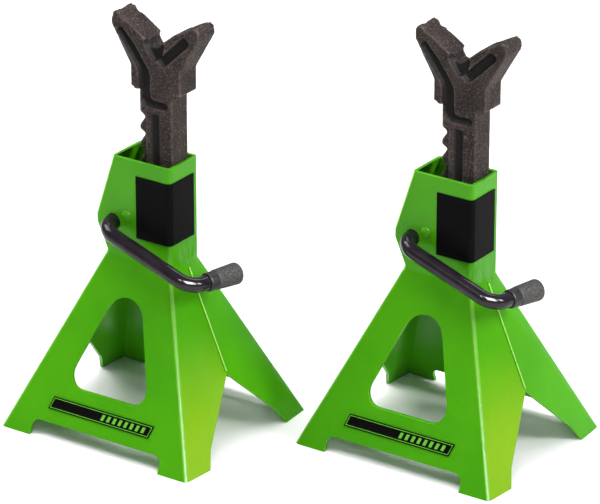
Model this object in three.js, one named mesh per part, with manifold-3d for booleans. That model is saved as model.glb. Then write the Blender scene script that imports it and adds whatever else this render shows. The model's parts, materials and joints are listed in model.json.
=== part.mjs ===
// A pair of ratcheting axle jack stands.
//
// Each stand is a pressed-steel base of two welded half shells, a one-piece cast ratchet bar
// with a V saddle, and a bent handle whose shaft turns the pawl inside the neck of the base.
// Units are millimetres, +Z is up. Each stand is modelled about the point on the floor under
// the middle of its base, its window facing -Y, its ratchet teeth towards -X.
// The origin of the pair is the point on the floor midway between the two stands.

import * as THREE from 'three';
import { ConvexGeometry } from 'three/addons/geometries/ConvexGeometry.js';
import { mergeVertices } from 'three/addons/utils/BufferGeometryUtils.js';
import Module from 'manifold-3d';

const wasm = await Module();
wasm.setup();

// ---- driving dimensions -------------------------------------------------------------------

// The two stands
const STAND_SPACING_X = 241;
const STAND_SPACING_Y = 122;

// Clearance kept between touching pieces, and round a shaft that turns in its bore
const GAP = 0.3;
const BORE_CLEARANCE = 0.35;

// Reach of the cutters that go right through a stand
const PLENTY = 400;
const THROUGH = 60;

// Base: a four-sided spreading skirt below a straight neck
const SHEET = 3.2;
const FOOT_HALF_X = 104.5;
const FOOT_HALF_Y = 93.5;
const FLARE_Z = 163;
const NECK_TOP_Z = 261;
const NECK_RIGHT_X = 37;
const NECK_HALF_Y = 22;
const BEND_RADIUS = 4.5;
const SEAM_RIDGE_FOOT = 6.5;
const SEAM_RIDGE_FLARE = 3;
const SEAM_GAP = 0.3;

// Left outline of the neck, from the flare up round the pawl housing to the top
const WAIST = { x: -35, z: 168 };
const EAR_LOW = { x: -46, z: 193 };
const EAR_HIGH = { x: -46, z: 201 };
const NECK_TOP_LEFT_X = -26.5;

// Openings of the base
const WINDOW_HALF_X = 47;
const WINDOW_BOTTOM_Z = 47.8;
const WINDOW_APEX_Z = 170.7;
const WINDOW_LOW_RADIUS = 13.2;
const WINDOW_TOP_RADIUS = 21.1;
const FOOT_TAB_INNER_X = 72;
const RAIL_BOTTOM_Z = 14.6;
const RAIL_FILLET = 7.5;
const FOOT_TAB_INNER_Y = 60;
const SIDE_TAB_TOP_Y = 50.5;
const SIDE_TAB_TOP_Z = 15.5;
const SIDE_NOTCH_APEX_Z = 65.5;

// Handle shaft and its pawl
const PIVOT_X = -26;
const PIVOT_Z = 197;
const ROD_RADIUS = 7;
const ROD_HOLE_RADIUS = 7.7;
const ROD_BACK_Y = 28;
const ROD_FRONT_Y = -40;
const ROD_BEND_RADIUS = 16;
const HANDLE_SLOPE = -19.3;
const HANDLE_ARM = 103.5;
const GRIP_YAW = 10.1;
const GRIP_DIP = 3.8;
const GRIP_ARM = 58;
const GRIP_START = 20;
const GRIP_COLLAR = 10;
const PAWL_ANGLE = 60;
const PAWL_REACH = 43;
const PAWL_HALF_Y = 7;
const PAWL_HUB_RADIUS = 11;
const ROLL_PIN_RADIUS = 2;
const STOP_PIN_RADIUS = 2.7;
const STOP_PIN_ALONG = 15;
const STOP_PIN_ACROSS = -8.1;

// Ratchet bar and saddle
const BAR_LEFT_X = 4;
const BAR_RIGHT_X = 33.4;
const BAR_HALF_Y = 12.2;
const BAR_BOTTOM_Z = 138;
const SHOULDER_Z = 328;
const NECK_BLOCK_LOW_Z = 305;
const SADDLE_HALF_Y = 13;
const RIB_HALF_Y = 5.5;
const TOOTH_TIP_X = -7.5;
const TOOTH_ROOT_X = -1.5;
const TOOTH_PITCH = 16.5;
const TOOTH_FLANK = 8.5;
const NOTCHES_ABOVE_PAWL = 4;
const NOTCHES_BELOW_PAWL = 4;
const BAR_GROOVE_DEPTH = 2.5;
const SADDLE_GROOVE_DEPTH = 4.5;
const TIP_NOTCH_RADIUS = 7;
const TIP_NOTCH_CENTRE_Z = 400.5;
const BAR_PIN_X = 25;
const BAR_PIN_Z = 149;
const BAR_PIN_RADIUS = 3;
const BAR_PIN_HALF = 17.5;

// Guide blocks inside the neck
const GUIDE_LEFT_X = 8;
const GUIDE_RIGHT_X = 29;
const GUIDE_LOW_Z = 207;
const GUIDE_HIGH_Z = 256;

// Labels
const NECK_LABEL_LOW_Z = 187;
const NECK_LABEL_HIGH_Z = 247;
const LABEL_THICKNESS = 0.5;
const DECAL_HALF_X = 56;
const DECAL_LOW_Z = 26;
const DECAL_HEIGHT = 12;
const DECAL_LEAN = 4;

// ---- materials ----------------------------------------------------------------------------

const paint = (name, color, roughness, metalness) => {
  const material = new THREE.MeshStandardMaterial({ color, roughness, metalness });
  material.name = name;
  return material;
};
const GREEN_PAINT = paint('green_paint', 0x4aa818, 0.3, 0.0);
const CAST_IRON = paint('cast_iron', 0x3a3130, 0.6, 0.4);
const BLACK_ROD = paint('black_rod', 0x141216, 0.25, 0.3);
const GRIP_RUBBER = paint('grip_rubber', 0x2c2a2b, 0.8, 0.0);
const PLAIN_STEEL = paint('plain_steel', 0x8c8c88, 0.35, 0.9);
const BLACK_LABEL = paint('black_label', 0x0a0a0a, 0.45, 0.0);

// ---- solids -------------------------------------------------------------------------------

const radians = THREE.MathUtils.degToRad;
const UNSCALED = new THREE.Vector3(1, 1, 1);

function solidFrom(geometry, matrix = null) {
  const bare = geometry.clone();
  if (matrix) {
    bare.applyMatrix4(matrix);
  }
  bare.deleteAttribute('normal');
  bare.deleteAttribute('uv');
  const merged = mergeVertices(bare, 1e-4);
  const vertProperties = new Float32Array(merged.attributes.position.array);
  const triVerts = new Uint32Array(merged.index.array);
  return new wasm.Manifold(new wasm.Mesh({ numProp: 3, vertProperties, triVerts }));
}

function geometryFrom(solid) {
  const mesh = solid.getMesh();
  const geometry = new THREE.BufferGeometry();
  geometry.setAttribute('position', new THREE.BufferAttribute(new Float32Array(mesh.vertProperties), 3));
  geometry.setIndex(new THREE.BufferAttribute(new Uint32Array(mesh.triVerts), 1));
  geometry.computeVertexNormals();
  return geometry;
}

function meshOf(name, geometry, material) {
  const mesh = new THREE.Mesh(geometry, material);
  mesh.name = name;
  return mesh;
}

function boxBetween(low, high) {
  const box = new THREE.BoxGeometry(high[0] - low[0], high[1] - low[1], high[2] - low[2]);
  const middle = low.map((value, axis) => (value + high[axis]) / 2);
  return box.translate(middle[0], middle[1], middle[2]);
}

// A closed outline of [x, y, fillet radius] corners
function filletedShape(corners, arcSteps = 5) {
  const points = [];
  corners.forEach((corner, index) => {
    const here = new THREE.Vector2(corner[0], corner[1]);
    const radius = corner[2] ?? 0;
    if (radius === 0) {
      points.push(here);
      return;
    }
    const previous = corners[(index + corners.length - 1) % corners.length];
    const next = corners[(index + 1) % corners.length];
    const back = new THREE.Vector2(previous[0], previous[1]).sub(here).normalize();
    const ahead = new THREE.Vector2(next[0], next[1]).sub(here).normalize();
    const halfAngle = Math.acos(back.dot(ahead)) / 2;
    const bisector = back.clone().add(ahead).normalize();
    const centre = here.clone().addScaledVector(bisector, radius / Math.sin(halfAngle));
    const tangent = radius / Math.tan(halfAngle);
    const start = here.clone().addScaledVector(back, tangent).sub(centre);
    const end = here.clone().addScaledVector(ahead, tangent).sub(centre);
    const turn = Math.atan2(start.cross(end), start.dot(end));
    for (let step = 0; step <= arcSteps; step += 1) {
      points.push(start.clone().rotateAround(new THREE.Vector2(), (turn * step) / arcSteps).add(centre));
    }
  });
  return new THREE.Shape(points);
}

// Extrudes an outline drawn in X and Z along Y, from nearY to farY
function alongY(shape, nearY, farY) {
  const geometry = new THREE.ExtrudeGeometry(shape, {
    depth: farY - nearY,
    bevelEnabled: false,
    curveSegments: 6,
  });
  return geometry.rotateX(Math.PI / 2).translate(0, farY, 0);
}

// Extrudes an outline drawn in Y and Z along X, symmetrically about X = 0
function alongX(shape, halfLength) {
  const geometry = new THREE.ExtrudeGeometry(shape, { depth: 2 * halfLength, bevelEnabled: false });
  return geometry.translate(0, 0, -halfLength).rotateX(Math.PI / 2).rotateZ(Math.PI / 2);
}

function cylinderAlongY(radius, nearY, farY, x, z, sides = 20) {
  const geometry = new THREE.CylinderGeometry(radius, radius, farY - nearY, sides);
  return geometry.translate(x, (nearY + farY) / 2, z);
}

// Horizontal section of the base at one height, grown outwards by offset
function sectionRing(level, offset) {
  const ring = [];
  const radius = Math.max(BEND_RADIUS + offset, 1);
  const leftRadius = Math.max(level.leftRadius + offset, 1);
  const left = level.left - offset;
  const right = level.right + offset;
  const halfY = level.halfY + offset;
  const corners = [
    [right - radius, halfY - radius, 0, radius],
    [left + leftRadius, halfY - leftRadius, 90, leftRadius],
    [left + leftRadius, leftRadius - halfY, 180, leftRadius],
    [right - radius, radius - halfY, 270, radius],
  ];
  for (const [x, y, startAngle, cornerRadius] of corners) {
    for (let step = 0; step <= 4; step += 1) {
      const angle = radians(startAngle + 22.5 * step);
      const away = new THREE.Vector3(Math.cos(angle), Math.sin(angle), 0);
      ring.push(new THREE.Vector3(x, y, level.z).addScaledVector(away, cornerRadius));
    }
  }
  if (level.ridge > 0) {
    ring.push(new THREE.Vector3(right + level.ridge, 0, level.z));
    ring.push(new THREE.Vector3(left - level.ridge, 0, level.z));
  }
  return ring;
}

// The levels of the base, from below the floor to above the neck
function baseLevels() {
  const slopeX = (FOOT_HALF_X - NECK_RIGHT_X) / FLARE_Z;
  const slopeY = (FOOT_HALF_Y - NECK_HALF_Y) / FLARE_Z;
  const slopeRidge = (SEAM_RIDGE_FOOT - SEAM_RIDGE_FLARE) / FLARE_Z;
  const skirt = (z) => ({
    z,
    left: -FOOT_HALF_X + slopeX * z,
    right: FOOT_HALF_X - slopeX * z,
    halfY: FOOT_HALF_Y - slopeY * z,
    ridge: SEAM_RIDGE_FOOT - slopeRidge * z,
    leftRadius: BEND_RADIUS,
  });
  const neck = (z, left) => ({
    z,
    left,
    right: NECK_RIGHT_X,
    halfY: NECK_HALF_Y,
    ridge: 0,
    leftRadius: 4,
  });
  return [
    skirt(-6),
    skirt(FLARE_Z),
    neck(WAIST.z, WAIST.x),
    neck(EAR_LOW.z, EAR_LOW.x),
    neck(EAR_HIGH.z, EAR_HIGH.x),
    neck(NECK_TOP_Z + 6, NECK_TOP_LEFT_X + 2),
  ];
}

function baseHull(offset) {
  const levels = baseLevels();
  let hull = null;
  for (let index = 0; index + 1 < levels.length; index += 1) {
    const points = [...sectionRing(levels[index], offset), ...sectionRing(levels[index + 1], offset)];
    const block = solidFrom(new ConvexGeometry(points));
    hull = hull ? hull.add(block) : block;
  }
  return hull;
}

const OUTER_HULL = baseHull(0);
const INNER_HULL = baseHull(-SHEET);

function baseShells() {
  const height = solidFrom(boxBetween([-PLENTY, -PLENTY, 0], [PLENTY, PLENTY, NECK_TOP_Z]));
  const window = filletedShape([
    [-WINDOW_HALF_X, WINDOW_BOTTOM_Z, WINDOW_LOW_RADIUS],
    [WINDOW_HALF_X, WINDOW_BOTTOM_Z, WINDOW_LOW_RADIUS],
    [0, WINDOW_APEX_Z, WINDOW_TOP_RADIUS],
  ], 8);
  const underRail = filletedShape([
    [-FOOT_TAB_INNER_X, -20],
    [FOOT_TAB_INNER_X, -20],
    [FOOT_TAB_INNER_X, RAIL_BOTTOM_Z, RAIL_FILLET],
    [-FOOT_TAB_INNER_X, RAIL_BOTTOM_Z, RAIL_FILLET],
  ], 4);
  const sideNotch = filletedShape([
    [-FOOT_TAB_INNER_Y - 2, -8],
    [FOOT_TAB_INNER_Y + 2, -8],
    [FOOT_TAB_INNER_Y, 0],
    [SIDE_TAB_TOP_Y, SIDE_TAB_TOP_Z],
    [0, SIDE_NOTCH_APEX_Z],
    [-SIDE_TAB_TOP_Y, SIDE_TAB_TOP_Z],
    [-FOOT_TAB_INNER_Y, 0],
  ]);
  const rodHole = cylinderAlongY(ROD_HOLE_RADIUS, -THROUGH, THROUGH, PIVOT_X, PIVOT_Z, 28);
  const pin = stopPinCentre();
  const pinHole = cylinderAlongY(STOP_PIN_RADIUS + GAP, -THROUGH, THROUGH, pin.x, pin.y);
  const shell = OUTER_HULL.subtract(INNER_HULL)
    .intersect(height)
    .subtract(solidFrom(alongY(window, -PLENTY, PLENTY)))
    .subtract(solidFrom(alongY(underRail, -PLENTY, PLENTY)))
    .subtract(solidFrom(alongX(sideNotch, PLENTY)))
    .subtract(solidFrom(rodHole))
    .subtract(solidFrom(pinHole));
  const frontSide = solidFrom(boxBetween([-PLENTY, -PLENTY, -PLENTY], [PLENTY, -SEAM_GAP / 2, PLENTY]));
  const backSide = solidFrom(boxBetween([-PLENTY, SEAM_GAP / 2, -PLENTY], [PLENTY, PLENTY, PLENTY]));
  return {
    front: geometryFrom(shell.intersect(frontSide)),
    back: geometryFrom(shell.intersect(backSide)),
  };
}

// Point in the X-Z plane at a distance along the pawl from its pivot, and to its left
function pawlPoint(along, across) {
  const angle = radians(PAWL_ANGLE);
  return new THREE.Vector2(
    PIVOT_X + along * Math.cos(angle) - across * Math.sin(angle),
    PIVOT_Z + along * Math.sin(angle) + across * Math.cos(angle),
  );
}

function stopPinCentre() {
  return pawlPoint(STOP_PIN_ALONG, STOP_PIN_ACROSS);
}

function rollPinHole() {
  const angle = radians(PAWL_ANGLE);
  const direction = new THREE.Vector3(-Math.sin(angle), 0, Math.cos(angle));
  const turn = new THREE.Quaternion().setFromUnitVectors(new THREE.Vector3(0, 1, 0), direction);
  const place = new THREE.Vector3(PIVOT_X, 0, PIVOT_Z);
  return new THREE.Matrix4().compose(place, turn, UNSCALED);
}

function rollPinCutter() {
  const radius = ROLL_PIN_RADIUS + GAP;
  return solidFrom(new THREE.CylinderGeometry(radius, radius, THROUGH, 16), rollPinHole());
}

function pawl() {
  const outline = [
    [PAWL_REACH - GAP, -2.1],
    [32, -2.1],
    [13, -5],
    [0, -6],
    [0, 8],
    [20, 7.4],
    [PAWL_REACH - 3, 6.2],
    [PAWL_REACH - GAP, 4.6],
  ].map(([along, across]) => pawlPoint(along, across));
  const arm = alongY(new THREE.Shape(outline), -PAWL_HALF_Y, PAWL_HALF_Y);
  const hub = cylinderAlongY(PAWL_HUB_RADIUS, -PAWL_HALF_Y, PAWL_HALF_Y, PIVOT_X, PIVOT_Z, 28);
  const bore = cylinderAlongY(ROD_RADIUS + BORE_CLEARANCE, -THROUGH, THROUGH, PIVOT_X, PIVOT_Z, 24);
  return geometryFrom(solidFrom(arm)
    .add(solidFrom(hub))
    .subtract(solidFrom(bore))
    .subtract(rollPinCutter()));
}

// A path of straight runs joined by circular bends
function bentPath(corners, bendRadius) {
  const path = new THREE.CurvePath();
  let start = corners[0].clone();
  for (let index = 1; index + 1 < corners.length; index += 1) {
    const corner = corners[index];
    const back = corners[index - 1].clone().sub(corner).normalize();
    const ahead = corners[index + 1].clone().sub(corner).normalize();
    const tangent = bendRadius / Math.tan(back.angleTo(ahead) / 2);
    const bendStart = corner.clone().addScaledVector(back, tangent);
    const bendEnd = corner.clone().addScaledVector(ahead, tangent);
    const sharpness = (4 / 3) * Math.tan((Math.PI - back.angleTo(ahead)) / 4) * bendRadius;
    path.add(new THREE.LineCurve3(start, bendStart));
    path.add(new THREE.CubicBezierCurve3(
      bendStart,
      bendStart.clone().addScaledVector(back, -sharpness),
      bendEnd.clone().addScaledVector(ahead, -sharpness),
      bendEnd,
    ));
    start = bendEnd;
  }
  path.add(new THREE.LineCurve3(start, corners[corners.length - 1].clone()));
  return path;
}

function circleShape(radius, sides) {
  const points = [];
  for (let side = 0; side < sides; side += 1) {
    const angle = (2 * Math.PI * side) / sides;
    points.push(new THREE.Vector2(radius * Math.cos(angle), radius * Math.sin(angle)));
  }
  return new THREE.Shape(points);
}

function handleElbow() {
  const slope = radians(HANDLE_SLOPE);
  return new THREE.Vector3(
    PIVOT_X + HANDLE_ARM * Math.cos(slope),
    ROD_FRONT_Y,
    PIVOT_Z + HANDLE_ARM * Math.sin(slope),
  );
}

function gripDirection() {
  const yaw = radians(GRIP_YAW);
  const dip = radians(GRIP_DIP);
  return new THREE.Vector3(Math.sin(yaw) * Math.cos(dip), Math.cos(yaw) * Math.cos(dip), -Math.sin(dip));
}

function handleRod() {
  const elbow = handleElbow();
  const corners = [
    new THREE.Vector3(PIVOT_X, ROD_BACK_Y, PIVOT_Z),
    new THREE.Vector3(PIVOT_X, ROD_FRONT_Y, PIVOT_Z),
    elbow,
    elbow.clone().addScaledVector(gripDirection(), GRIP_ARM - 3),
  ];
  const rod = new THREE.ExtrudeGeometry(circleShape(ROD_RADIUS, 14), {
    steps: 46,
    bevelEnabled: false,
    extrudePath: bentPath(corners, ROD_BEND_RADIUS),
  });
  return geometryFrom(solidFrom(rod).subtract(rollPinCutter()));
}

function handleGrip() {
  const bore = ROD_RADIUS + GAP;
  const end = GRIP_ARM - GRIP_START;
  const profile = [
    [bore, 0],
    [8.1, 0],
    [8.7, 0.8],
    [8.7, GRIP_COLLAR],
    [9.3, GRIP_COLLAR + 0.6],
    [10.3, end - 2],
    [9.3, end],
    [0, end],
    [0, end - 2.4],
    [bore, end - 2.4],
    [bore, 0],
  ].map(([radius, along]) => new THREE.Vector2(radius, along));
  const grip = new THREE.LatheGeometry(profile, 24);
  const turn = new THREE.Quaternion().setFromUnitVectors(new THREE.Vector3(0, 1, 0), gripDirection());
  const place = handleElbow().addScaledVector(gripDirection(), GRIP_START);
  return geometryFrom(solidFrom(grip, new THREE.Matrix4().compose(place, turn, UNSCALED)));
}

// Push-on cap that keeps the shaft in the base, behind the back shell
function rodCap() {
  const bore = ROD_RADIUS + GAP;
  const near = NECK_HALF_Y + 0.5;
  const profile = [
    [bore, near],
    [11.6, near],
    [11.6, near + 1.2],
    [9.7, near + 2],
    [9.7, ROD_BACK_Y + 0.6],
    [7.8, ROD_BACK_Y + 2.2],
    [0, ROD_BACK_Y + 2.2],
    [0, ROD_BACK_Y + 0.4],
    [bore, ROD_BACK_Y + 0.4],
    [bore, near],
  ].map(([radius, along]) => new THREE.Vector2(radius, along));
  return new THREE.LatheGeometry(profile, 24).translate(PIVOT_X, 0, PIVOT_Z);
}

// Rivet right through the neck that the pawl rests on
function stopPin() {
  const centre = stopPinCentre();
  const face = NECK_HALF_Y + GAP;
  const profile = [
    [0, -face - 2.2],
    [2.6, -face - 1.8],
    [4.4, -face - 0.8],
    [4.9, -face],
    [STOP_PIN_RADIUS, -face],
    [STOP_PIN_RADIUS, face],
    [4.9, face],
    [4.4, face + 0.8],
    [2.6, face + 1.8],
    [0, face + 2.2],
  ].map(([radius, along]) => new THREE.Vector2(radius, along));
  return new THREE.LatheGeometry(profile, 20).translate(centre.x, 0, centre.y);
}

// Outline of the bar's saddle: two horns that spread from the shoulders, one with a raised pad
function saddleOutline() {
  return [
    [TOOTH_TIP_X, SHOULDER_Z - 2],
    [BAR_RIGHT_X - 0.1, SHOULDER_Z - 2],
    [BAR_RIGHT_X - 0.1, SHOULDER_Z],
    [43.3, SHOULDER_Z, 1],
    [43.3, 351, 2],
    [63.5, 386, 3],
    [63.5, 394, 3],
    [59, 397.5, 2],
    [35.5, 385.4],
    [20, 372.5],
    [14.5, 367.5, 1.5],
    [7.2, 369.2],
    [6.4, 375.4, 1],
    [-15, 389, 1],
    [-20, 390],
    [-23, 394.8, 1],
    [-28.5, 396, 2.5],
    [-31.7, 391.4, 2.5],
    [-31.7, 383, 3],
    [-11.3, 348.8, 2],
    [-11.3, SHOULDER_Z, 1],
    [TOOTH_TIP_X, SHOULDER_Z],
  ];
}

function toothNotch(rootZ) {
  const depth = TOOTH_ROOT_X - TOOTH_TIP_X;
  const underside = depth / Math.tan(radians(PAWL_ANGLE));
  const beyond = 1 + 1 / depth;
  const outer = TOOTH_ROOT_X - depth * beyond;
  return new THREE.Shape([
    new THREE.Vector2(TOOTH_ROOT_X, rootZ),
    new THREE.Vector2(outer, rootZ + underside * beyond),
    new THREE.Vector2(outer, rootZ - TOOTH_FLANK * beyond),
  ]);
}

// Recesses that run down the casting's front and back faces
function castingRecesses() {
  const barGroove = filletedShape([
    [9.5, BAR_BOTTOM_Z + 8, 2],
    [18.8, BAR_BOTTOM_Z + 8, 2],
    [18.8, 306, 2],
    [9.5, 306, 2],
  ], 3);
  const longHook = filletedShape([
    [-22, 383.5, 3],
    [-26, 377, 3],
    [-16, 363, 8],
    [-2.5, 345, 14],
    [-2.5, 312, 9],
    [28, 312, 2.5],
    [28, 318.5, 2.5],
    [9.5, 318.5, 4],
    [9.5, 345, 20],
    [-7, 368, 10],
  ], 5);
  const shortSlot = filletedShape([
    [17, 356.5, 3.5],
    [25, 352.5, 3.5],
    [54, 380.5, 3.6],
    [47.5, 386.5, 3.6],
  ], 4);
  const saddlePocket = filletedShape([
    [3.5, 372, 2],
    [13.5, 356, 3],
    [22, 359, 2],
    [26, 373, 2],
    [20, 382],
    [8, 382],
  ], 4);
  return [
    { shape: saddlePocket, face: SADDLE_HALF_Y, depth: SADDLE_GROOVE_DEPTH },
    { shape: barGroove, face: BAR_HALF_Y, depth: BAR_GROOVE_DEPTH },
    { shape: longHook, face: SADDLE_HALF_Y, depth: SADDLE_GROOVE_DEPTH },
    { shape: shortSlot, face: SADDLE_HALF_Y, depth: SADDLE_GROOVE_DEPTH },
  ];
}

function ratchetBar() {
  const body = boxBetween(
    [BAR_LEFT_X, -BAR_HALF_Y, BAR_BOTTOM_Z],
    [BAR_RIGHT_X, BAR_HALF_Y, SHOULDER_Z + 10],
  );
  const rib = boxBetween(
    [TOOTH_TIP_X, -RIB_HALF_Y, BAR_BOTTOM_Z + 6],
    [BAR_LEFT_X + 5, RIB_HALF_Y, SHOULDER_Z + 10],
  );
  const saddle = alongY(filletedShape(saddleOutline(), 4), -SADDLE_HALF_Y, SADDLE_HALF_Y);
  const neckBlock = boxBetween(
    [TOOTH_ROOT_X - 1, -BAR_HALF_Y, NECK_BLOCK_LOW_Z],
    [BAR_LEFT_X + 5, BAR_HALF_Y, SHOULDER_Z + 10],
  );
  let bar = solidFrom(body).add(solidFrom(rib)).add(solidFrom(neckBlock)).add(solidFrom(saddle));
  const engagedRoot = pawlPoint(PAWL_REACH, 0).y
    - ((TOOTH_ROOT_X - TOOTH_TIP_X) / 2) / Math.tan(radians(PAWL_ANGLE));
  for (let step = -NOTCHES_BELOW_PAWL; step <= NOTCHES_ABOVE_PAWL; step += 1) {
    const notch = alongY(toothNotch(engagedRoot + step * TOOTH_PITCH), -RIB_HALF_Y - 1, RIB_HALF_Y + 1);
    bar = bar.subtract(solidFrom(notch));
  }
  for (const { shape, face, depth } of castingRecesses()) {
    bar = bar.subtract(solidFrom(alongY(shape, -face - 5, -face + depth)));
    bar = bar.subtract(solidFrom(alongY(shape, face - depth, face + 5)));
  }
  const pinHole = cylinderAlongY(BAR_PIN_RADIUS + GAP, -THROUGH, THROUGH, BAR_PIN_X, BAR_PIN_Z, 16);
  const tipNotch = new THREE.CylinderGeometry(TIP_NOTCH_RADIUS, TIP_NOTCH_RADIUS, 20, 24)
    .rotateZ(Math.PI / 2)
    .translate(-31, 0, TIP_NOTCH_CENTRE_Z);
  return geometryFrom(bar.subtract(solidFrom(pinHole)).subtract(solidFrom(tipNotch)));
}

// Thin skin over the neck's front right corner
function neckLabel() {
  const skin = baseHull(GAP + LABEL_THICKNESS).subtract(baseHull(GAP));
  const patch = boxBetween([0, -60, NECK_LABEL_LOW_Z], [60, 14, NECK_LABEL_HIGH_Z]);
  return geometryFrom(skin.intersect(solidFrom(patch)));
}

// Slanted strip on the front rail, drawn flat and laid on the rail by its mesh's place
function railDecal() {
  const shape = new THREE.Shape([
    new THREE.Vector2(-DECAL_HALF_X - DECAL_LEAN / 2, 0),
    new THREE.Vector2(DECAL_HALF_X - DECAL_LEAN / 2, 0),
    new THREE.Vector2(DECAL_HALF_X + DECAL_LEAN / 2, DECAL_HEIGHT),
    new THREE.Vector2(-DECAL_HALF_X + DECAL_LEAN / 2, DECAL_HEIGHT),
  ]);
  return new THREE.ExtrudeGeometry(shape, { depth: LABEL_THICKNESS, bevelEnabled: false });
}

// ---- one stand ----------------------------------------------------------------------------

function makeStand(prefix) {
  const stand = new THREE.Group();
  const add = (name, geometry, material) => {
    const mesh = meshOf(`${prefix}_${name}`, geometry, material);
    stand.add(mesh);
    return mesh;
  };

  const shells = baseShells();
  add('front_shell', shells.front, GREEN_PAINT);
  add('back_shell', shells.back, GREEN_PAINT);

  const guideNear = BAR_HALF_Y + GAP;
  const guideFar = NECK_HALF_Y - SHEET - GAP;
  const guide = (nearY, farY) => boxBetween(
    [GUIDE_LEFT_X, nearY, GUIDE_LOW_Z],
    [GUIDE_RIGHT_X, farY, GUIDE_HIGH_Z],
  );
  add('front_guide', guide(-guideFar, -guideNear), PLAIN_STEEL);
  add('back_guide', guide(guideNear, guideFar), PLAIN_STEEL);
  add('pawl_stop_pin', stopPin(), GREEN_PAINT);
  add('neck_label', neckLabel(), BLACK_LABEL);

  const lean = Math.atan2(FOOT_HALF_Y - NECK_HALF_Y, FLARE_Z);
  const frontY = -FOOT_HALF_Y + DECAL_LOW_Z * Math.tan(lean);
  const decal = add('rail_decal', railDecal(), BLACK_LABEL);
  decal.rotation.x = Math.PI / 2 - lean;
  decal.position.set(0, frontY - GAP * Math.cos(lean), DECAL_LOW_Z + GAP * Math.sin(lean));

  add('ratchet_bar', ratchetBar(), CAST_IRON);
  add(
    'bar_stop_pin',
    cylinderAlongY(BAR_PIN_RADIUS, -BAR_PIN_HALF, BAR_PIN_HALF, BAR_PIN_X, BAR_PIN_Z, 16),
    PLAIN_STEEL,
  );

  add('handle_rod', handleRod(), BLACK_ROD);
  add('handle_grip', handleGrip(), GRIP_RUBBER);
  add('rod_cap', rodCap(), PLAIN_STEEL);
  add('pawl', pawl(), PLAIN_STEEL);
  const rollPin = add(
    'roll_pin',
    new THREE.CylinderGeometry(ROLL_PIN_RADIUS, ROLL_PIN_RADIUS, 2 * PAWL_HUB_RADIUS - 1, 12),
    PLAIN_STEEL,
  );
  rollPin.applyMatrix4(rollPinHole());
  return stand;
}

// ---- the pair -----------------------------------------------------------------------------

const pair = new THREE.Group();
const leftStand = makeStand('left');
leftStand.position.set(-STAND_SPACING_X / 2, -STAND_SPACING_Y / 2, 0);
const rightStand = makeStand('right');
rightStand.position.set(STAND_SPACING_X / 2, STAND_SPACING_Y / 2, 0);
pair.add(leftStand, rightStand);

export default pair;
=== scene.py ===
import json
import math

import bmesh
import bpy
import numpy as np
from mathutils import Matrix, Vector, noise
from mathutils.bvhtree import BVHTree

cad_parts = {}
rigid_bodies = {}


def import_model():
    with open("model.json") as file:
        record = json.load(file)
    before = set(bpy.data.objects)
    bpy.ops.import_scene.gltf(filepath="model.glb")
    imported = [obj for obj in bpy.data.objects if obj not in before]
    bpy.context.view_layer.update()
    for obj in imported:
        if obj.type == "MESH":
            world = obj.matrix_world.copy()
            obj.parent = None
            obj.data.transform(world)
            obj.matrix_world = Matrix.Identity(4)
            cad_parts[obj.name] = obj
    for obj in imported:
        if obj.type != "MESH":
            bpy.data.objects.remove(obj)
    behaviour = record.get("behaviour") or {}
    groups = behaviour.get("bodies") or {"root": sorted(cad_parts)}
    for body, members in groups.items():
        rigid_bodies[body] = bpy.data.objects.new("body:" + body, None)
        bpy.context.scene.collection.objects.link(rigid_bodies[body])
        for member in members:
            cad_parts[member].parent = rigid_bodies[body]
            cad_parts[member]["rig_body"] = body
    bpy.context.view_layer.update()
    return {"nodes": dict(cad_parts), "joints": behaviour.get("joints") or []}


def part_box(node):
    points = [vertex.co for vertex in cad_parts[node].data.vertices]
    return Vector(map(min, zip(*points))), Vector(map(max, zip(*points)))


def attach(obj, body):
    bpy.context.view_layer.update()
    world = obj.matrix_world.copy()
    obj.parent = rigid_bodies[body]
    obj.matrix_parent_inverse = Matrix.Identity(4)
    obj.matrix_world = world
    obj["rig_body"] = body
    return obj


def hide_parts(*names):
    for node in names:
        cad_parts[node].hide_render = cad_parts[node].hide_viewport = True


# A pair of ratcheting axle jack stands. Metres, +Z up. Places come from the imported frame. The handle's
# bends, which the frame doesn't hold, repeat the sizes that its shapes were built with.

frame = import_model()
STANDS = ("left", "right")
MM = 0.001

# Where the camera stands and what it aims at: degrees, metres, and a lens in millimetres
AIM = Vector((-0.0042, 0.0061, 0.17))
AZIMUTH = 34.6
ELEVATION = 23.61
DISTANCE = 4.0756
LENS = 271.87
FAR_CLIP = 50

# The studio
WORLD_LIGHT = 0.33
FLOOR_HALF = 15

# Rounded edges, and the angles in degrees past which an edge counts as sharp
SHEET_EDGE = 0.7 * MM
MACHINED_EDGE = 0.4 * MM
PIN_EDGE = 0.2 * MM
RIVET_EDGE = 0.3 * MM
FILM_EDGE = 0.1 * MM
SHARP_EDGE = 40
SHARP_PAST = 32
ROUND_SHARP_PAST = 50
WELD_SHARP_PAST = 70

# Joining the frame's loose triangles, and closing a spun or bent shape
LOOSE_VERTS = 0.01 * MM
FLAT_WITHIN = 0.4
WELDED_VERTS = 0.005 * MM

# Where the painted highlight falls on the bends, where the painted warm reflection falls on the side
# flanges, and where the coat is puckered: parts of a face's direction, then heights above the floor
FLANGE_FACING = 0.87
FLANGE_RISE = 0.3
BEND_STARTS = 0.3
BEND_FADE = 0.14
BEND_RISE = 0.1
WARM_REFLECTION_HEIGHTS = (20 * MM, 125 * MM)
PUCKER_RISES = (150 * MM, 166 * MM)
PUCKER_FALLS = (172 * MM, 186 * MM)

# The weld along each seam of the base. Its ends, swell and wobble are shares of its radius, the lumps
# are counted per metre, and the skirt it runs along is the lower share of the shell's height.
BEAD_RADIUS = 1.2 * MM
BEAD_RIPPLE = 1.6 * MM
BEAD_SIDES = 10
BEAD_END = 0.3
BEAD_SWELL = 0.14
BEAD_WOBBLE = 0.10
BEAD_LUMPS = 400
ON_THE_SEAM = 0.05 * MM
# How squarely a face of the weld must face outward to carry the painted highlight along its crest
WELD_CREST = 0.75
SKIRT_SHARE = 0.63
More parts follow.
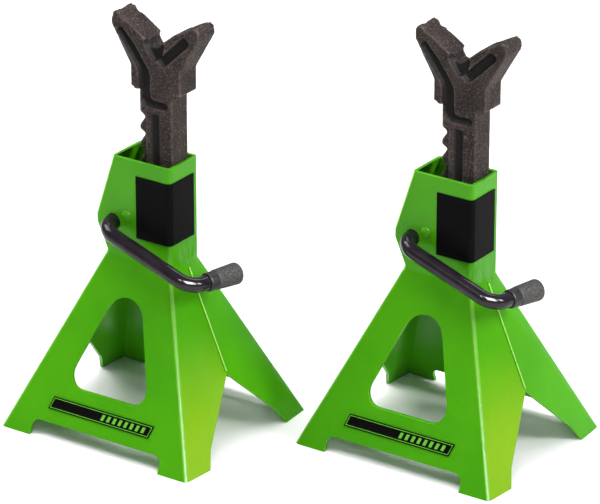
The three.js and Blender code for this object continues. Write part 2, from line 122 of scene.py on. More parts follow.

# The casting: its skin, its chipped tips and its recesses, which are painted dark as shade. Lumps are
# counted per metre.
# A recess's floor lies between the deep and the shallow distance from the bar's middle plane.
CASTING_VOXEL = 1.15 * MM
MELT_ROUNDS = 5
SPREAD_ROUNDS = 3
RUBBED_CORNER = (0.03, 0.13)
RECESS_SHADE_SPREAD = (0.1, 0.9)
CAST_ROUGHNESS = 0.22 * MM
BROAD_LUMPS = 90
FINE_LUMPS = 330
CAST_INSET = 0.25 * MM
CHIPS_FROM = 385 * MM
CHIPS_FADE = 6 * MM
CHIP_DEPTH = 2.6 * MM
CHIP_LUMPS = 210
RECESS_DEEP = 7 * MM
RECESS_SHALLOW = 10.9 * MM
RECESS_ACROSS = 12 * MM
RECESS_FACING = 0.3
OFF_THE_SKIN = 0.5 * MM

# The decal on the front rail. Its bars start at a share of the panel's width.
DECAL_BORDER = 1.1 * MM
PINSTRIPE = 0.6 * MM
PANEL_BORDER = 1.6 * MM
BARS_FROM = 0.5
BAR_STEP = 3.2 * MM
BAR_LEAN = -0.35

# The bent handle: its middle line, then the rod, then the grip
ROD_BACK_Y = 28 * MM
ROD_FRONT_Y = -40 * MM
HANDLE_SLOPE = -19.3
HANDLE_ARM = 103.5 * MM
GRIP_YAW = 10.1
GRIP_DIP = 3.8
GRIP_ARM = 58 * MM
ROD_RADIUS = 7 * MM
ROD_BEND_RADIUS = 16 * MM
ROD_SIDES = 32
BEND_STEPS = 14
GRIP_START = 20 * MM
GRIP_LENGTH = GRIP_ARM - GRIP_START
ROD_STOPS_SHORT = 3 * MM
GRIP_BORE = ROD_RADIUS + 0.3 * MM
GRIP_COLLAR = 10 * MM
SPIN_STEPS = 48
COLLAR_RADIUS = 8.7 * MM
SLEEVE_RADIUS = 9.35 * MM
SLEEVE_FLARE = 0.85 * MM
RIBS = 9
RIB_HEIGHT = 0.12 * MM


def body_of_node(node):
    """The frame's body that a node rides on."""
    return frame["nodes"][node]["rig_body"]


def stand_centre(stand):
    """The point on the floor under the middle of one stand's base."""
    low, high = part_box(f"{stand}_front_shell")
    back_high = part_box(f"{stand}_back_shell")[1]
    return Vector(((low.x + high.x) / 2, (low.y + back_high.y) / 2, 0))


def pivot_of(stand):
    """The middle of the handle shaft inside the neck."""
    joint = next(j for j in frame["joints"] if j["name"] == f"{stand}_handle_pivot")
    return Vector(joint["pos_m"])


# ---- camera, floor and light ----------------------------------------------------------------


def aimed(thing, place):
    """Puts a camera or a light at a place, facing the middle of the stands."""
    thing.location = place
    thing.rotation_euler = (AIM - place).to_track_quat("-Z", "Y").to_euler()
    bpy.context.scene.collection.objects.link(thing)
    return thing


def around(azimuth, elevation, distance):
    """A point round the middle of the stands, at an azimuth and an elevation in degrees."""
    turn, rise = math.radians(azimuth), math.radians(elevation)
    back = Vector((math.sin(turn) * math.cos(rise), -math.cos(turn) * math.cos(rise), math.sin(rise)))
    return AIM + back * distance


def place_camera():
    """The one camera, in front of the stands, to their right and above them."""
    lens = bpy.data.cameras.new("camera")
    lens.lens = LENS
    lens.clip_end = FAR_CLIP
    camera = aimed(bpy.data.objects.new("camera", lens), around(AZIMUTH, ELEVATION, DISTANCE))
    bpy.context.scene.camera = camera


def softbox(name, azimuth, elevation, distance, size, power):
    """A rectangular studio light that faces the stands. Its power is in watts."""
    light = bpy.data.lights.new(name, "AREA")
    light.shape = "RECTANGLE"
    light.size, light.size_y = size
    light.energy = power
    return aimed(bpy.data.objects.new(name, light), around(azimuth, elevation, distance))


def gleam(*card):
    """A softbox that only shows as a reflection in glossy paint."""
    softbox(*card).visible_diffuse = False


def fill(*card):
    """A softbox that lights the stands without showing as a reflection."""
    softbox(*card).visible_glossy = False


def light_studio():
    """Soft light from the left, right, back and top, two cards to reflect, and a pale world."""
    softbox("key_light", -75, 50, 3.0, (1.6, 1.6), 56)
    softbox("right_light", 100, 32, 2.6, (0.5, 0.9), 42)
    softbox("back_light", 200, 55, 3.0, (2.0, 1.0), 27)
    fill("top_fill", 20, 78, 4.0, (2.5, 2.5), 92)
    gleam("rod_gleam", 8, 42, 2.6, (0.34, 0.9), 20)
    gleam("bend_gleam", 57, 40, 2.5, (1.7, 1.3), 340)
    world = bpy.data.worlds.new("studio")
    world.use_nodes = True
    world.node_tree.nodes["Background"].inputs["Color"].default_value = (1, 1, 1, 1)
    world.node_tree.nodes["Background"].inputs["Strength"].default_value = WORLD_LIGHT
    bpy.context.scene.world = world
    bpy.context.scene.view_settings.view_transform = "Standard"


def lay_floor():
    """A wide floor that belongs to the studio and not to the stands."""
    shape = bmesh.new()
    bmesh.ops.create_grid(shape, x_segments=1, y_segments=1, size=FLOOR_HALF)
    floor = finished(shape, "floor", [pale_floor()])


# ---- shader maths ---------------------------------------------------------------------------


class Signal:
    """A socket in a material's node tree. Arithmetic on it adds Math nodes to the same tree."""

    def __init__(self, tree, socket=None):
        self.tree = tree
        self.socket = socket

    def node(self, kind, settings=None, sockets=None, output=0):
        """Adds a node, with its settings first and then the values or links of its sockets."""
        made = self.tree.nodes.new("ShaderNode" + kind)
        for name, value in (settings or {}).items():
            setattr(made, name, value)
        for name, value in (sockets or {}).items():
            if isinstance(value, Signal):
                self.tree.links.new(value.socket, made.inputs[name])
            else:
                made.inputs[name].default_value = value
        return Signal(self.tree, made.outputs[output])

    def maths(self, operation, first, second):
        """Adds a Math node with two inputs, each a signal or a number."""
        return self.node("Math", {"operation": operation}, {0: first, 1: second})

    def __add__(self, other):
        return self.maths("ADD", self, other)

    def __radd__(self, other):
        return self.maths("ADD", other, self)

    def __sub__(self, other):
        return self.maths("SUBTRACT", self, other)

    def __rsub__(self, other):
        return self.maths("SUBTRACT", other, self)

    def __mul__(self, other):
        return self.maths("MULTIPLY", self, other)

    def __rmul__(self, other):
        return self.maths("MULTIPLY", other, self)

    def ramp(self, low, high):
        """0 where the signal is at low, 1 where it is at high, and smooth in between."""
        return self.node(
            "MapRange",
            {"interpolation_type": "SMOOTHSTEP"},
            {"Value": self, "From Min": low, "From Max": high},
        )

    def blend(self, first, second):
        """A colour between two colours, by this signal."""
        return self.node("Mix", {"data_type": "RGBA"}, {0: self, 6: first, 7: second}, output=2)

    def noise(self, scale, detail=2.0, roughness=0.5):
        """Noise read at this signal's place."""
        return self.node(
            "TexNoise",
            None,
            {"Vector": self, "Scale": scale, "Detail": detail, "Roughness": roughness},
        )


class Finish:
    """A material under construction: its shader, the place on the piece, and a way to set both."""

    def __init__(self, name, **constants):
        self.material = bpy.data.materials.new(name)
        self.material.use_nodes = True
        self.tree = self.material.node_tree
        self.shader = self.tree.nodes["Principled BSDF"]
        self.start = Signal(self.tree)
        self.place = self.start.node("TexCoord", output=3)
        for socket, value in constants.items():
            self.shader.inputs[socket.replace("_", " ")].default_value = value

    def stretched(self, x, y, z):
        """The place on the piece, with each axis scaled, for patterns that run one way."""
        return self.start.node("Mapping", None, {"Vector": self.place, "Scale": (x, y, z)})

    def height_above_floor(self):
        """Metres above the floor, at rest."""
        return self.start.node("SeparateXYZ", None, {"Vector": self.place}, output=2)

    def attribute(self, name):
        """A value kept on the piece's faces or points; 0 on a piece that lacks it."""
        return self.start.node("Attribute", {"attribute_name": name}, output=2)

    def set(self, socket, signal):
        """Drives one of the shader's sockets with a signal."""
        self.tree.links.new(signal.socket, self.shader.inputs[socket])

    def relief(self, height, depth):
        """Bump from a height signal that is 0 to 1, depth metres deep."""
        self.set("Normal", self.start.node("Bump", None, {"Height": height, "Distance": depth}))


# ---- materials ------------------------------------------------------------------------------

FRESH_GREEN = (0.066, 0.340, 0.003, 1)
DEEP_GREEN = (0.052, 0.300, 0.003, 1)
WARM_REFLECTION_GREEN = (0.210, 0.400, 0.012, 1)
THIN_COAT_AND_HIGHLIGHT_GREEN = (0.430, 0.780, 0.150, 1)
IRON_BROWN = (0.034, 0.023, 0.020, 1)
IRON_DARK = (0.014, 0.009, 0.008, 1)
IRON_WORN = (0.140, 0.108, 0.098, 1)
IRON_GLINT = (0.330, 0.300, 0.290, 1)
IRON_PAINTED_SHADE = (0.0025, 0.0018, 0.0018, 1)
ROD_BLACK = (0.010, 0.007, 0.011, 1)
ROD_WARM_BLACK = (0.017, 0.012, 0.018, 1)
RUBBER_DARK = (0.018, 0.016, 0.016, 1)
RUBBER_DUSTY = (0.085, 0.079, 0.076, 1)
COLLAR_BLACK = (0.006, 0.005, 0.006, 1)
COLLAR_GREY = (0.011, 0.010, 0.011, 1)
FILM_BLACK = (0.0018, 0.0018, 0.0020, 1)
FILM_GREY = (0.0036, 0.0036, 0.0040, 1)
INK_GREEN = (0.10, 0.42, 0.02, 1)
INK_LIGHT = (0.14, 0.50, 0.03, 1)
ZINC_DULL = (0.36, 0.35, 0.33, 1)
ZINC_BRIGHT = (0.55, 0.54, 0.51, 1)
FLOOR_WHITE = (0.90, 0.90, 0.90, 1)


def green_powder_coat():
    """Glossy green powder coat: thin on cut edges with a painted highlight there, a painted highlight on
    the bends, a painted warm reflection low on the side flanges, puckered at the flare.
    """
    finish = Finish("green_powder_coat", Specular_IOR_Level=0.14)
    cloud = finish.place.noise(14, 3)
    speck = finish.place.noise(900, 2)
    # The cut edges are painted lighter green: thin coat there, and partly a painted highlight
    thin = finish.attribute("edge") * (0.35 + 0.65 * finish.place.noise(160, 3))
    height = finish.height_above_floor()
    # Painted warm reflection: the outer faces of the side flanges are tinted yellow-green, most strongly
    # low down
    low_down = 1 - height.ramp(*WARM_REFLECTION_HEIGHTS)
    warm = finish.attribute("flange") * low_down * (0.75 + 0.4 * finish.place.noise(22, 3))
    coat = warm.blend(cloud.ramp(0.3, 0.7).blend(FRESH_GREEN, DEEP_GREEN), WARM_REFLECTION_GREEN)
    # Painted highlight: the rounds of the bends are painted light green, on top of the lighter cut edges
    rubbed = thin + finish.attribute("bend") * (0.55 + 0.5 * finish.place.noise(120, 3))
    finish.set("Base Color", rubbed.blend(coat, THIN_COAT_AND_HIGHLIGHT_GREEN))
    finish.set("Roughness", 0.15 + 0.08 * finish.place.noise(45, 4) + 0.04 * speck)
    in_the_flare = height.ramp(*PUCKER_RISES) * (1 - height.ramp(*PUCKER_FALLS))
    pucker = finish.stretched(1, 1, 0.45).noise(95, 2) * in_the_flare
    peel = finish.place.noise(520, 2)
    finish.relief(0.10 * peel + 0.9 * pucker, 1.4 * MM)
    return finish.material


def cast_iron():
    """Dark brown cast iron, sandy on its faces and rubbed lighter on its corners."""
    finish = Finish("cast_iron", Specular_IOR_Level=0.12)
    sand = finish.place.noise(620, 5, 0.62)
    pits = finish.place.noise(210, 3, 0.6)
    cloud = finish.place.noise(38, 4)
    rubbed = finish.attribute("edge") * (0.25 + 1.0 * finish.place.noise(240, 4)).ramp(0.45, 0.95)
    base = cloud.ramp(0.35, 0.68).blend(IRON_DARK, IRON_BROWN)
    grain = sand.ramp(0.50, 0.70) * 0.75
    glint = finish.place.noise(560, 2).ramp(0.68, 0.76) * 0.28
    skin = glint.blend(rubbed.blend(grain.blend(base, IRON_WORN), IRON_WORN), IRON_GLINT)
    # Painted shade: the recesses are painted near black where shade falls in them
    finish.set("Base Color", (0.95 * finish.attribute("recess")).blend(skin, IRON_PAINTED_SHADE))
    finish.set("Roughness", 0.70 - 0.22 * rubbed - 0.14 * sand)
    finish.relief(0.55 * sand + 0.75 * pits, 0.9 * MM)
    return finish.material


def black_rod_paint():
    """Thick gloss black paint on the bent rod."""
    finish = Finish("black_rod_paint", Specular_IOR_Level=0.3)
    cloud = finish.place.noise(60, 4)
    finish.set("Base Color", cloud.ramp(0.3, 0.7).blend(ROD_BLACK, ROD_WARM_BLACK))
    finish.set("Roughness", 0.08 + 0.12 * finish.place.noise(130, 4))
    finish.relief(finish.place.noise(210, 2), 0.10 * MM)
    return finish.material


def grip_rubber():
    """Dark grey moulded rubber with a fine lengthwise grain."""
    finish = Finish("grip_rubber", Specular_IOR_Level=0.3)
    grain = finish.stretched(1.0, 0.12, 1.0).noise(900, 3)
    dust = finish.place.noise(620, 3, 0.6)
    finish.set("Base Color", dust.ramp(0.35, 0.75).blend(RUBBER_DARK, RUBBER_DUSTY))
    finish.set("Roughness", 0.58 + 0.22 * grain)
    finish.relief(grain + 0.5 * finish.place.noise(420, 2), 0.30 * MM)
    return finish.material


def label_film():
    """Satin black label film with faint handling marks."""
    finish = Finish("label_film", Specular_IOR_Level=0.03)
    cloud = finish.place.noise(30, 3)
    finish.set("Base Color", cloud.blend(FILM_BLACK, FILM_GREY))
    finish.set("Roughness", 0.36 + 0.14 * finish.place.noise(120, 4))
    finish.relief(finish.place.noise(700, 2), 0.04 * MM)
    return finish.material


def pinstripe_green():
    """The printed line round the rail decal."""
    finish = Finish("pinstripe_green", Specular_IOR_Level=0.2)
    ink = finish.place.noise(900, 2)
    finish.set("Base Color", ink.blend(INK_GREEN, INK_LIGHT))
    finish.set("Roughness", 0.35 + 0.1 * ink)
    finish.relief(ink, 0.02 * MM)
    return finish.material


def grip_collar():
    """The smooth black collar at the mouth of the grip."""
    finish = Finish("grip_collar", Specular_IOR_Level=0.35)
    cloud = finish.place.noise(150, 3)
    finish.set("Base Color", cloud.blend(COLLAR_BLACK, COLLAR_GREY))
    finish.set("Roughness", 0.38 + 0.15 * cloud)
    finish.relief(finish.place.noise(600, 2), 0.08 * MM)
    return finish.material


def zinc_steel():
    """Bright zinc-plated steel, brushed along Z, with dull patches."""
    finish = Finish("zinc_steel", Metallic=0.95)
    brushed = finish.stretched(1.0, 1.0, 0.06).noise(700, 3)
    patch = finish.place.noise(90, 4)
    finish.set("Base Color", patch.ramp(0.3, 0.7).blend(ZINC_DULL, ZINC_BRIGHT))
    finish.set("Roughness", 0.26 + 0.20 * patch + 0.10 * brushed)
    finish.relief(brushed, 0.06 * MM)
    return finish.material


def pale_floor():
    """The matt white studio floor."""
    return Finish("pale_floor", Base_Color=FLOOR_WHITE, Roughness=0.9).material


# ---- shapes ---------------------------------------------------------------------------------


def finished(shape, name, materials):
    """Turns a bmesh into an object at the origin, with its materials."""
    mesh = bpy.data.meshes.new(name)
    shape.to_mesh(mesh)
    shape.free()
    piece = bpy.data.objects.new(name, mesh)
    bpy.context.scene.collection.objects.link(piece)
    for material in materials:
        mesh.materials.append(material)
    return piece


def shade_smooth(piece, angle=SHARP_PAST):
    """Smooth over gentle bends, sharp past the angle, with flat faces kept flat."""
    piece.data.polygons.foreach_set("use_smooth", [True] * len(piece.data.polygons))
    piece.data.set_sharp_from_angle(angle=math.radians(angle))
    weighted = piece.modifiers.new("flat_faces", "WEIGHTED_NORMAL")
    weighted.keep_sharp = True
    weighted.weight = 80


def merged_copy(node):
    """A bmesh of a node's shape with its loose triangles joined into whole flat faces."""
    shape = bmesh.new()
    shape.from_mesh(frame["nodes"][node].data)
    bmesh.ops.remove_doubles(shape, verts=shape.verts, dist=LOOSE_VERTS)
    bmesh.ops.dissolve_limit(
        shape,
        angle_limit=math.radians(FLAT_WITHIN),
        verts=shape.verts,
        edges=shape.edges,
    )
    for face in shape.faces:
        face.material_index = 0
    return shape


def round_edges(shape, width, segments=2):
    """Bevels the sharp edges, and marks the new faces in the face layer "edge"."""
    layer = shape.faces.layers.float.new("edge")
    limit = math.radians(SHARP_EDGE)
    edges = [e for e in shape.edges if len(e.link_faces) == 2 and e.calc_face_angle(0) > limit]
    made = bmesh.ops.bevel(
        shape,
        geom=edges,
        offset=width,
        affect="EDGES",
        segments=segments,
        profile=0.5,
        material=-1,
        clamp_overlap=True,
    )
    for face in made["faces"]:
        face[layer] = 1.0


def stands_for(piece, node):
    """The piece takes a node's place and rides on its body."""
    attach(piece, body_of_node(node))
    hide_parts(node)


def eased_piece(node, name, width, material):
    """A node's own shape with its edges rounded, as a piece of its own."""
    shape = merged_copy(node)
    round_edges(shape, width)
    piece = finished(shape, name, [material])
    shade_smooth(piece)
    stands_for(piece, node)
    return piece


def spun(profile, axis_from, along):
    """A bmesh spun from a list of (radius, distance along) points about a line through a point."""
    shape = bmesh.new()
    side = along.orthogonal().normalized()
    points = [shape.verts.new(axis_from + side * radius + along * distance) for radius, distance in profile]
    rim = [shape.edges.new(pair) for pair in zip(points, points[1:])]
    bmesh.ops.spin(
        shape,
        geom=points + rim,
        cent=axis_from,
        axis=along,
        angle=2 * math.pi,
        steps=SPIN_STEPS,
        use_merge=True,
    )
    bmesh.ops.remove_doubles(shape, verts=shape.verts, dist=WELDED_VERTS)
    bmesh.ops.recalc_face_normals(shape, faces=shape.faces)
    return shape


def facing(place, along):
    """A matrix that puts a flat ring at a place, square to a direction."""
    return Matrix.Translation(place) @ along.to_track_quat("Z", "Y").to_matrix().to_4x4()


def extend(shape, ring, offset):
    """Extrudes the last ring of edges of a tube in a straight line."""
    made = bmesh.ops.extrude_edge_only(shape, edges=ring)["geom"]
    moved = [item for item in made if isinstance(item, bmesh.types.BMVert)]
    bmesh.ops.translate(shape, verts=moved, vec=offset)
    return [item for item in made if isinstance(item, bmesh.types.BMEdge)]


# ---- the pressed base -----------------------------------------------------------------------


def mark_painted_light(piece, centre):
    """Marks the outer faces of the side flanges, for a painted warm reflection, and the rounds of the
    bends, for a painted highlight.
    """
    flange = piece.data.attributes.new("flange", "FLOAT", "FACE").data
    rounds = piece.data.attributes.new("bend", "FLOAT", "FACE").data
    for face, on_flange, on_bend in zip(piece.data.polygons, flange, rounds):
        outward = face.normal.x * math.copysign(1, face.center.x - centre.x)
        # the outer faces of the flanges carry a painted warm reflection
        on_flange.value = float(outward > FLANGE_FACING and face.normal.z > FLANGE_RISE)
        # the rounds of the bends carry a painted highlight
        between = abs(face.normal.x * face.normal.y)
        share = min(max((between - BEND_STARTS) / BEND_FADE, 0), 1)
        on_bend.value = share * float(face.normal.z > BEND_RISE)


def dress_base(stand, paint):
    """The two pressings of a base with eased edges, and the welds between them."""
    for half in ("front", "back"):
        node = f"{stand}_{half}_shell"
        pressing = eased_piece(node, f"{stand}_{half}_pressing", SHEET_EDGE, paint)
        if half == "front":
            mark_painted_light(pressing, stand_centre(stand))
    for side in (-1, 1):
        lay_weld(stand, side, paint)


def seam_ends(stand, side):
    """The low and the high end of the seam between the two pressings, on one side of the skirt."""
    centre = stand_centre(stand)
    shape = merged_copy(f"{stand}_front_shell")
    seam_y = max(vert.co.y for vert in shape.verts)
    outer = {}
    for vert in shape.verts:
        if seam_y - vert.co.y < ON_THE_SEAM and (vert.co.x - centre.x) * side > 0:
            level = round(vert.co.z / MM)
            known = outer.get(level)
            if known is None or (vert.co.x - known.x) * side > 0:
                outer[level] = Vector((vert.co.x, centre.y, vert.co.z))
    shape.free()
    skirt_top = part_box(f"{stand}_front_shell")[1].z * SKIRT_SHARE
    line = [outer[level] for level in sorted(outer) if outer[level].z < skirt_top]
    widest = max(line, key=lambda point: (point.x - centre.x) * side)
    return widest, line[-1]


def lay_weld(stand, side, paint):
    """A rippled bead of weld along the seam on one side of the skirt."""
    foot, top = seam_ends(stand, side)
    run = top - foot
    along = run.normalized()
    middle = foot + along * 2 * BEAD_RADIUS
    steps = 2 * int((run.length - 3 * BEAD_RADIUS) / BEAD_RIPPLE)
    shape = bmesh.new()
    bmesh.ops.create_circle(
        shape,
        segments=BEAD_SIDES,
        radius=BEAD_END * BEAD_RADIUS,
        cap_ends=True,
        matrix=facing(middle, along),
    )
    ring = list(shape.edges)
    size = BEAD_END
    for step in range(steps):
        ring = extend(shape, ring, along * BEAD_RIPPLE / 2)
        middle = middle + along * BEAD_RIPPLE / 2
        wanted = BEAD_END
        if step < steps - 1:
            wanted = 1.0 + BEAD_SWELL * (step % 2) + BEAD_WOBBLE * noise.noise(middle * BEAD_LUMPS)
        verts = list({vert for edge in ring for vert in edge.verts})
        grow = wanted / size
        bmesh.ops.scale(shape, verts=verts, vec=(grow, grow, grow), space=Matrix.Translation(-middle))
        size = wanted
    bmesh.ops.holes_fill(shape, edges=[e for e in shape.edges if e.is_boundary], sides=BEAD_SIDES)
    bmesh.ops.recalc_face_normals(shape, faces=shape.faces)
    # Painted highlight along the outer crest of the weld
    crest = shape.faces.layers.float.new("bend")
    for face in shape.faces:
        face[crest] = float(face.normal.x * side > WELD_CREST)
    piece = finished(shape, f"{stand}_seam_weld_{'left' if side < 0 else 'right'}", [paint])
    shade_smooth(piece, WELD_SHARP_PAST)
    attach(piece, body_of_node(f"{stand}_front_shell"))


# ---- the cast bar and its saddle ------------------------------------------------------------


def casting_noise(point):
    """Height of the casting's unevenness at a point, from -1 to 1."""
    broad = noise.noise(point * BROAD_LUMPS)
    fine = noise.noise(point * FINE_LUMPS)
    return 0.6 * broad + 0.4 * fine


def chipped(point):
    """How far the rough tips of the saddle's horns are broken back at a point."""
    tip = min(max((point.z - CHIPS_FROM) / CHIPS_FADE, 0), 1)
    return CHIP_DEPTH * tip * max(noise.noise(point * CHIP_LUMPS), 0)


def casting_skin(stand):
    """A bmesh of the bar's shape with small even faces and melted corners."""
    rough = finished(merged_copy(f"{stand}_ratchet_bar"), f"{stand}_rough_casting", [])
    remesh = rough.modifiers.new("voxels", "REMESH")
    remesh.mode = "VOXEL"
    remesh.voxel_size = CASTING_VOXEL
    melt = rough.modifiers.new("melt", "SMOOTH")
    melt.factor = 0.5
    melt.iterations = MELT_ROUNDS
    mesh = bpy.data.meshes.new_from_object(rough.evaluated_get(bpy.context.evaluated_depsgraph_get()))
    bpy.data.objects.remove(rough)
    shape = bmesh.new()
    shape.from_mesh(mesh)
    shape.normal_update()
    return shape


def mark_wear_and_shade(shape, middle_y):
    """Keeps two values on each point of the casting: how far it stands out, and if it is in a recess, for
    the painted shade.
    """
    edge_layer = shape.verts.layers.float.new("edge")
    recess_layer = shape.verts.layers.float.new("recess")
    surface = BVHTree.FromBMesh(shape)
    for vert in shape.verts:
        depth = abs(vert.co.y - middle_y)
        on_floor = RECESS_DEEP < depth < RECESS_SHALLOW and abs(vert.normal.y) > RECESS_FACING
        wall = surface.ray_cast(vert.co + vert.normal * OFF_THE_SKIN, vert.normal, RECESS_ACROSS)[0]
        vert[recess_layer] = float(on_floor or wall is not None)
        around_it = [edge.other_vert(vert).co for edge in vert.link_edges]
        middle = sum(around_it, Vector()) / len(around_it)
        vert[edge_layer] = (vert.co - middle).dot(vert.normal) / CASTING_VOXEL


def dress_bar(stand, iron):
    """The casting: a rough skin, drawn in a little, with rubbed corners and recesses painted dark as shade.
    """
    shape = casting_skin(stand)
    mark_wear_and_shade(shape, stand_centre(stand).y)
    for vert in shape.verts:
        vert.co += vert.normal * (CAST_ROUGHNESS * casting_noise(vert.co) - CAST_INSET - chipped(vert.co))
    piece = finished(shape, f"{stand}_cast_bar", [iron])
    soften(piece, "edge", *RUBBED_CORNER)
    soften(piece, "recess", *RECESS_SHADE_SPREAD)
    piece.data.polygons.foreach_set("use_smooth", [True] * len(piece.data.polygons))
    stands_for(piece, f"{stand}_ratchet_bar")


def soften(piece, name, low, high):
    """Spreads a value over neighbouring points, then stretches low to high over 0 to 1."""
    mesh = piece.data
    raw = np.zeros(len(mesh.vertices), np.float32)
    mesh.attributes[name].data.foreach_get("value", raw)
    pairs = np.zeros(len(mesh.edges) * 2, np.int32)
    mesh.edges.foreach_get("vertices", pairs)
    pairs = pairs.reshape(-1, 2)
    count = np.bincount(pairs.ravel(), minlength=len(raw)) + 1
    for _ in range(SPREAD_ROUNDS):
        total = raw.copy()
        np.add.at(total, pairs[:, 0], raw[pairs[:, 1]])
        np.add.at(total, pairs[:, 1], raw[pairs[:, 0]])
        raw = total / count
    mask = np.clip((raw - low) / (high - low), 0, 1).astype(np.float32)
    mesh.attributes[name].data.foreach_set("value", mask)


# ---- the handle -----------------------------------------------------------------------------


def handle_line(stand):
    """The back end, front corner and elbow of the handle rod's middle line, and the grip's direction."""
    pivot = pivot_of(stand)
    slope, yaw, dip = (math.radians(value) for value in (HANDLE_SLOPE, GRIP_YAW, GRIP_DIP))
    middle = stand_centre(stand).y
    back = Vector((pivot.x, middle + ROD_BACK_Y, pivot.z))
    front = Vector((pivot.x, middle + ROD_FRONT_Y, pivot.z))
    elbow = front + HANDLE_ARM * Vector((math.cos(slope), 0, math.sin(slope)))
    along = Vector((math.sin(yaw) * math.cos(dip), math.cos(yaw) * math.cos(dip), -math.sin(dip)))
    return back, front, elbow, along


def bend(shape, ring, corner, before, after):
    """Spins the last ring of the rod round the inside of a corner."""
    axis = before.cross(after).normalized()
    turn = before.angle(after)
    start = corner - before * ROD_BEND_RADIUS * math.tan(turn / 2)
    centre = start + axis.cross(before) * ROD_BEND_RADIUS
    made = bmesh.ops.spin(
        shape,
        geom=ring,
        cent=centre,
        axis=axis,
        angle=turn,
        steps=BEND_STEPS,
    )["geom_last"]
    return [item for item in made if isinstance(item, bmesh.types.BMEdge)]


def dress_rod(stand, paint):
    """The bent rod, drawn as one tube through its two bends."""
    back, front, elbow, along = handle_line(stand)
    first = (front - back).normalized()
    second = (elbow - front).normalized()
    shape = bmesh.new()
    bmesh.ops.create_circle(
        shape,
        segments=ROD_SIDES,
        radius=ROD_RADIUS,
        cap_ends=False,
        matrix=facing(back, first),
    )
    ring = list(shape.edges)
    first_trim = ROD_BEND_RADIUS * math.tan(first.angle(second) / 2)
    second_trim = ROD_BEND_RADIUS * math.tan(second.angle(along) / 2)
    ring = extend(shape, ring, first * ((front - back).length - first_trim))
    ring = bend(shape, ring, front, first, second)
    ring = extend(shape, ring, second * ((elbow - front).length - first_trim - second_trim))
    ring = bend(shape, ring, elbow, second, along)
    extend(shape, ring, along * (GRIP_ARM - ROD_STOPS_SHORT - second_trim))
    bmesh.ops.holes_fill(shape, edges=[e for e in shape.edges if e.is_boundary], sides=ROD_SIDES)
    bmesh.ops.remove_doubles(shape, verts=shape.verts, dist=WELDED_VERTS)
    bmesh.ops.recalc_face_normals(shape, faces=shape.faces)
    piece = finished(shape, f"{stand}_bent_rod", [paint])
    shade_smooth(piece, ROUND_SHARP_PAST)
    stands_for(piece, f"{stand}_handle_rod")


def grip_profile():
    """The grip's outline as (radius, distance from its mouth): collar, ribbed sleeve, end and bore."""
    end = GRIP_LENGTH
    profile = [(GRIP_BORE, 0), (7.9 * MM, 0), (8.4 * MM, 0.3 * MM), (COLLAR_RADIUS, 1.0 * MM)]
    profile += [(COLLAR_RADIUS, GRIP_COLLAR - 0.5 * MM), (8.4 * MM, GRIP_COLLAR)]
    profile += [(9.0 * MM, GRIP_COLLAR + 0.5 * MM), (9.3 * MM, GRIP_COLLAR + 1.4 * MM)]
    first_rib = GRIP_COLLAR + 2 * MM
    run = end - 3 * MM - first_rib
    for rib in range(RIBS):
        share = rib / (RIBS - 1)
        place = first_rib + run * share
        swell = SLEEVE_RADIUS + SLEEVE_FLARE * share
        profile += [(swell, place), (swell - RIB_HEIGHT, place + run / (RIBS - 1) / 2)]
    profile += [(10.2 * MM, end - 2.0 * MM), (9.9 * MM, end - 0.9 * MM), (9.2 * MM, end - 0.15 * MM)]
    bore_floor = end - 2.4 * MM
    profile += [(8.3 * MM, end), (0, end), (0, bore_floor), (GRIP_BORE, bore_floor), (GRIP_BORE, 0)]
    return profile


def dress_grip(stand, rubber, collar):
    """The moulded grip: a smooth collar, then a ribbed sleeve that widens to its end."""
    elbow, along = handle_line(stand)[2:]
    mouth = elbow + along * GRIP_START
    shape = spun(grip_profile(), mouth, along)
    for face in shape.faces:
        if (face.calc_center_median() - mouth).dot(along) < GRIP_COLLAR:
            face.material_index = 1
    piece = finished(shape, f"{stand}_rubber_grip", [rubber, collar])
    shade_smooth(piece, ROUND_SHARP_PAST)
    stands_for(piece, f"{stand}_handle_grip")


# ---- small parts ----------------------------------------------------------------------------


def dress_small_parts(stand, steel, paint):
    """The steel parts in and behind the neck, and the green rivet."""
    for node in ("front_guide", "back_guide", "pawl", "roll_pin", "bar_stop_pin", "rod_cap"):
        width = PIN_EDGE if node == "roll_pin" else MACHINED_EDGE
        eased_piece(f"{stand}_{node}", f"{stand}_steel_{node}", width, steel)
    eased_piece(f"{stand}_pawl_stop_pin", f"{stand}_rivet", RIVET_EDGE, paint)


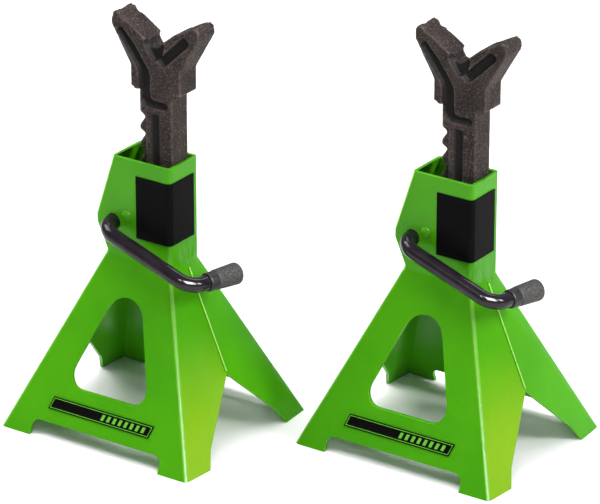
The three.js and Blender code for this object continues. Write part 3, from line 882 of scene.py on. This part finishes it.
def slanted_bars(shape, face):
    """Cuts the right part of a decal's panel into slanted bars, and paints every second one."""
    left = min(vert.co.x for vert in face.verts)
    right = max(vert.co.x for vert in face.verts)
    bottom = min(vert.co.z for vert in face.verts)
    across = Vector((1, 0, BAR_LEAN)).normalized()
    start = left + BARS_FROM * (right - left)
    count = int((right - start) / BAR_STEP)
    panel = [face]
    for cut in range(count):
        place = Vector((start + cut * BAR_STEP, 0, bottom))
        edges = {edge for part in panel for edge in part.edges}
        verts = {vert for part in panel for vert in part.verts}
        made = bmesh.ops.bisect_plane(
            shape,
            geom=panel + list(edges) + list(verts),
            plane_co=place,
            plane_no=across,
        )
        panel = [item for item in made["geom"] if isinstance(item, bmesh.types.BMFace)]
    for part in panel:
        from_start = (part.calc_center_median() - Vector((start, 0, bottom))).dot(across)
        offset = from_start / (BAR_STEP * across.x)
        if 0 < offset < count - 1 and int(offset) % 2 == 0:
            part.material_index = 1


def dress_neck_label(stand, film):
    """The plain film wrapped round a corner of the neck."""
    shape = merged_copy(f"{stand}_neck_label")
    round_edges(shape, FILM_EDGE, segments=1)
    label = finished(shape, f"{stand}_neck_film", [film])
    shade_smooth(label)
    stands_for(label, f"{stand}_neck_label")


def dress_rail_decal(stand, film, line):
    """The strip on the front rail, with its thin outline and slanted bars."""
    shape = merged_copy(f"{stand}_rail_decal")
    front = [face for face in shape.faces if face.normal.y < -0.5]
    face = max(front, key=lambda candidate: candidate.calc_area())
    bmesh.ops.inset_region(shape, faces=[face], thickness=DECAL_BORDER, use_even_offset=True)
    ring = bmesh.ops.inset_region(shape, faces=[face], thickness=PINSTRIPE, use_even_offset=True)
    for strip in ring["faces"]:
        strip.material_index = 1
    bmesh.ops.inset_region(shape, faces=[face], thickness=PANEL_BORDER, use_even_offset=True)
    slanted_bars(shape, face)
    decal = finished(shape, f"{stand}_rail_film", [film, line])
    stands_for(decal, f"{stand}_rail_decal")


place_camera()
light_studio()
lay_floor()
GREEN = green_powder_coat()
IRON = cast_iron()
BLACK = black_rod_paint()
RUBBER = grip_rubber()
COLLAR = grip_collar()
FILM = label_film()
LINE = pinstripe_green()
STEEL = zinc_steel()
for stand in STANDS:
    dress_base(stand, GREEN)
    dress_bar(stand, IRON)
    dress_rod(stand, BLACK)
    dress_grip(stand, RUBBER, COLLAR)
    dress_small_parts(stand, STEEL, GREEN)
    dress_neck_label(stand, FILM)
    dress_rail_decal(stand, FILM, LINE)
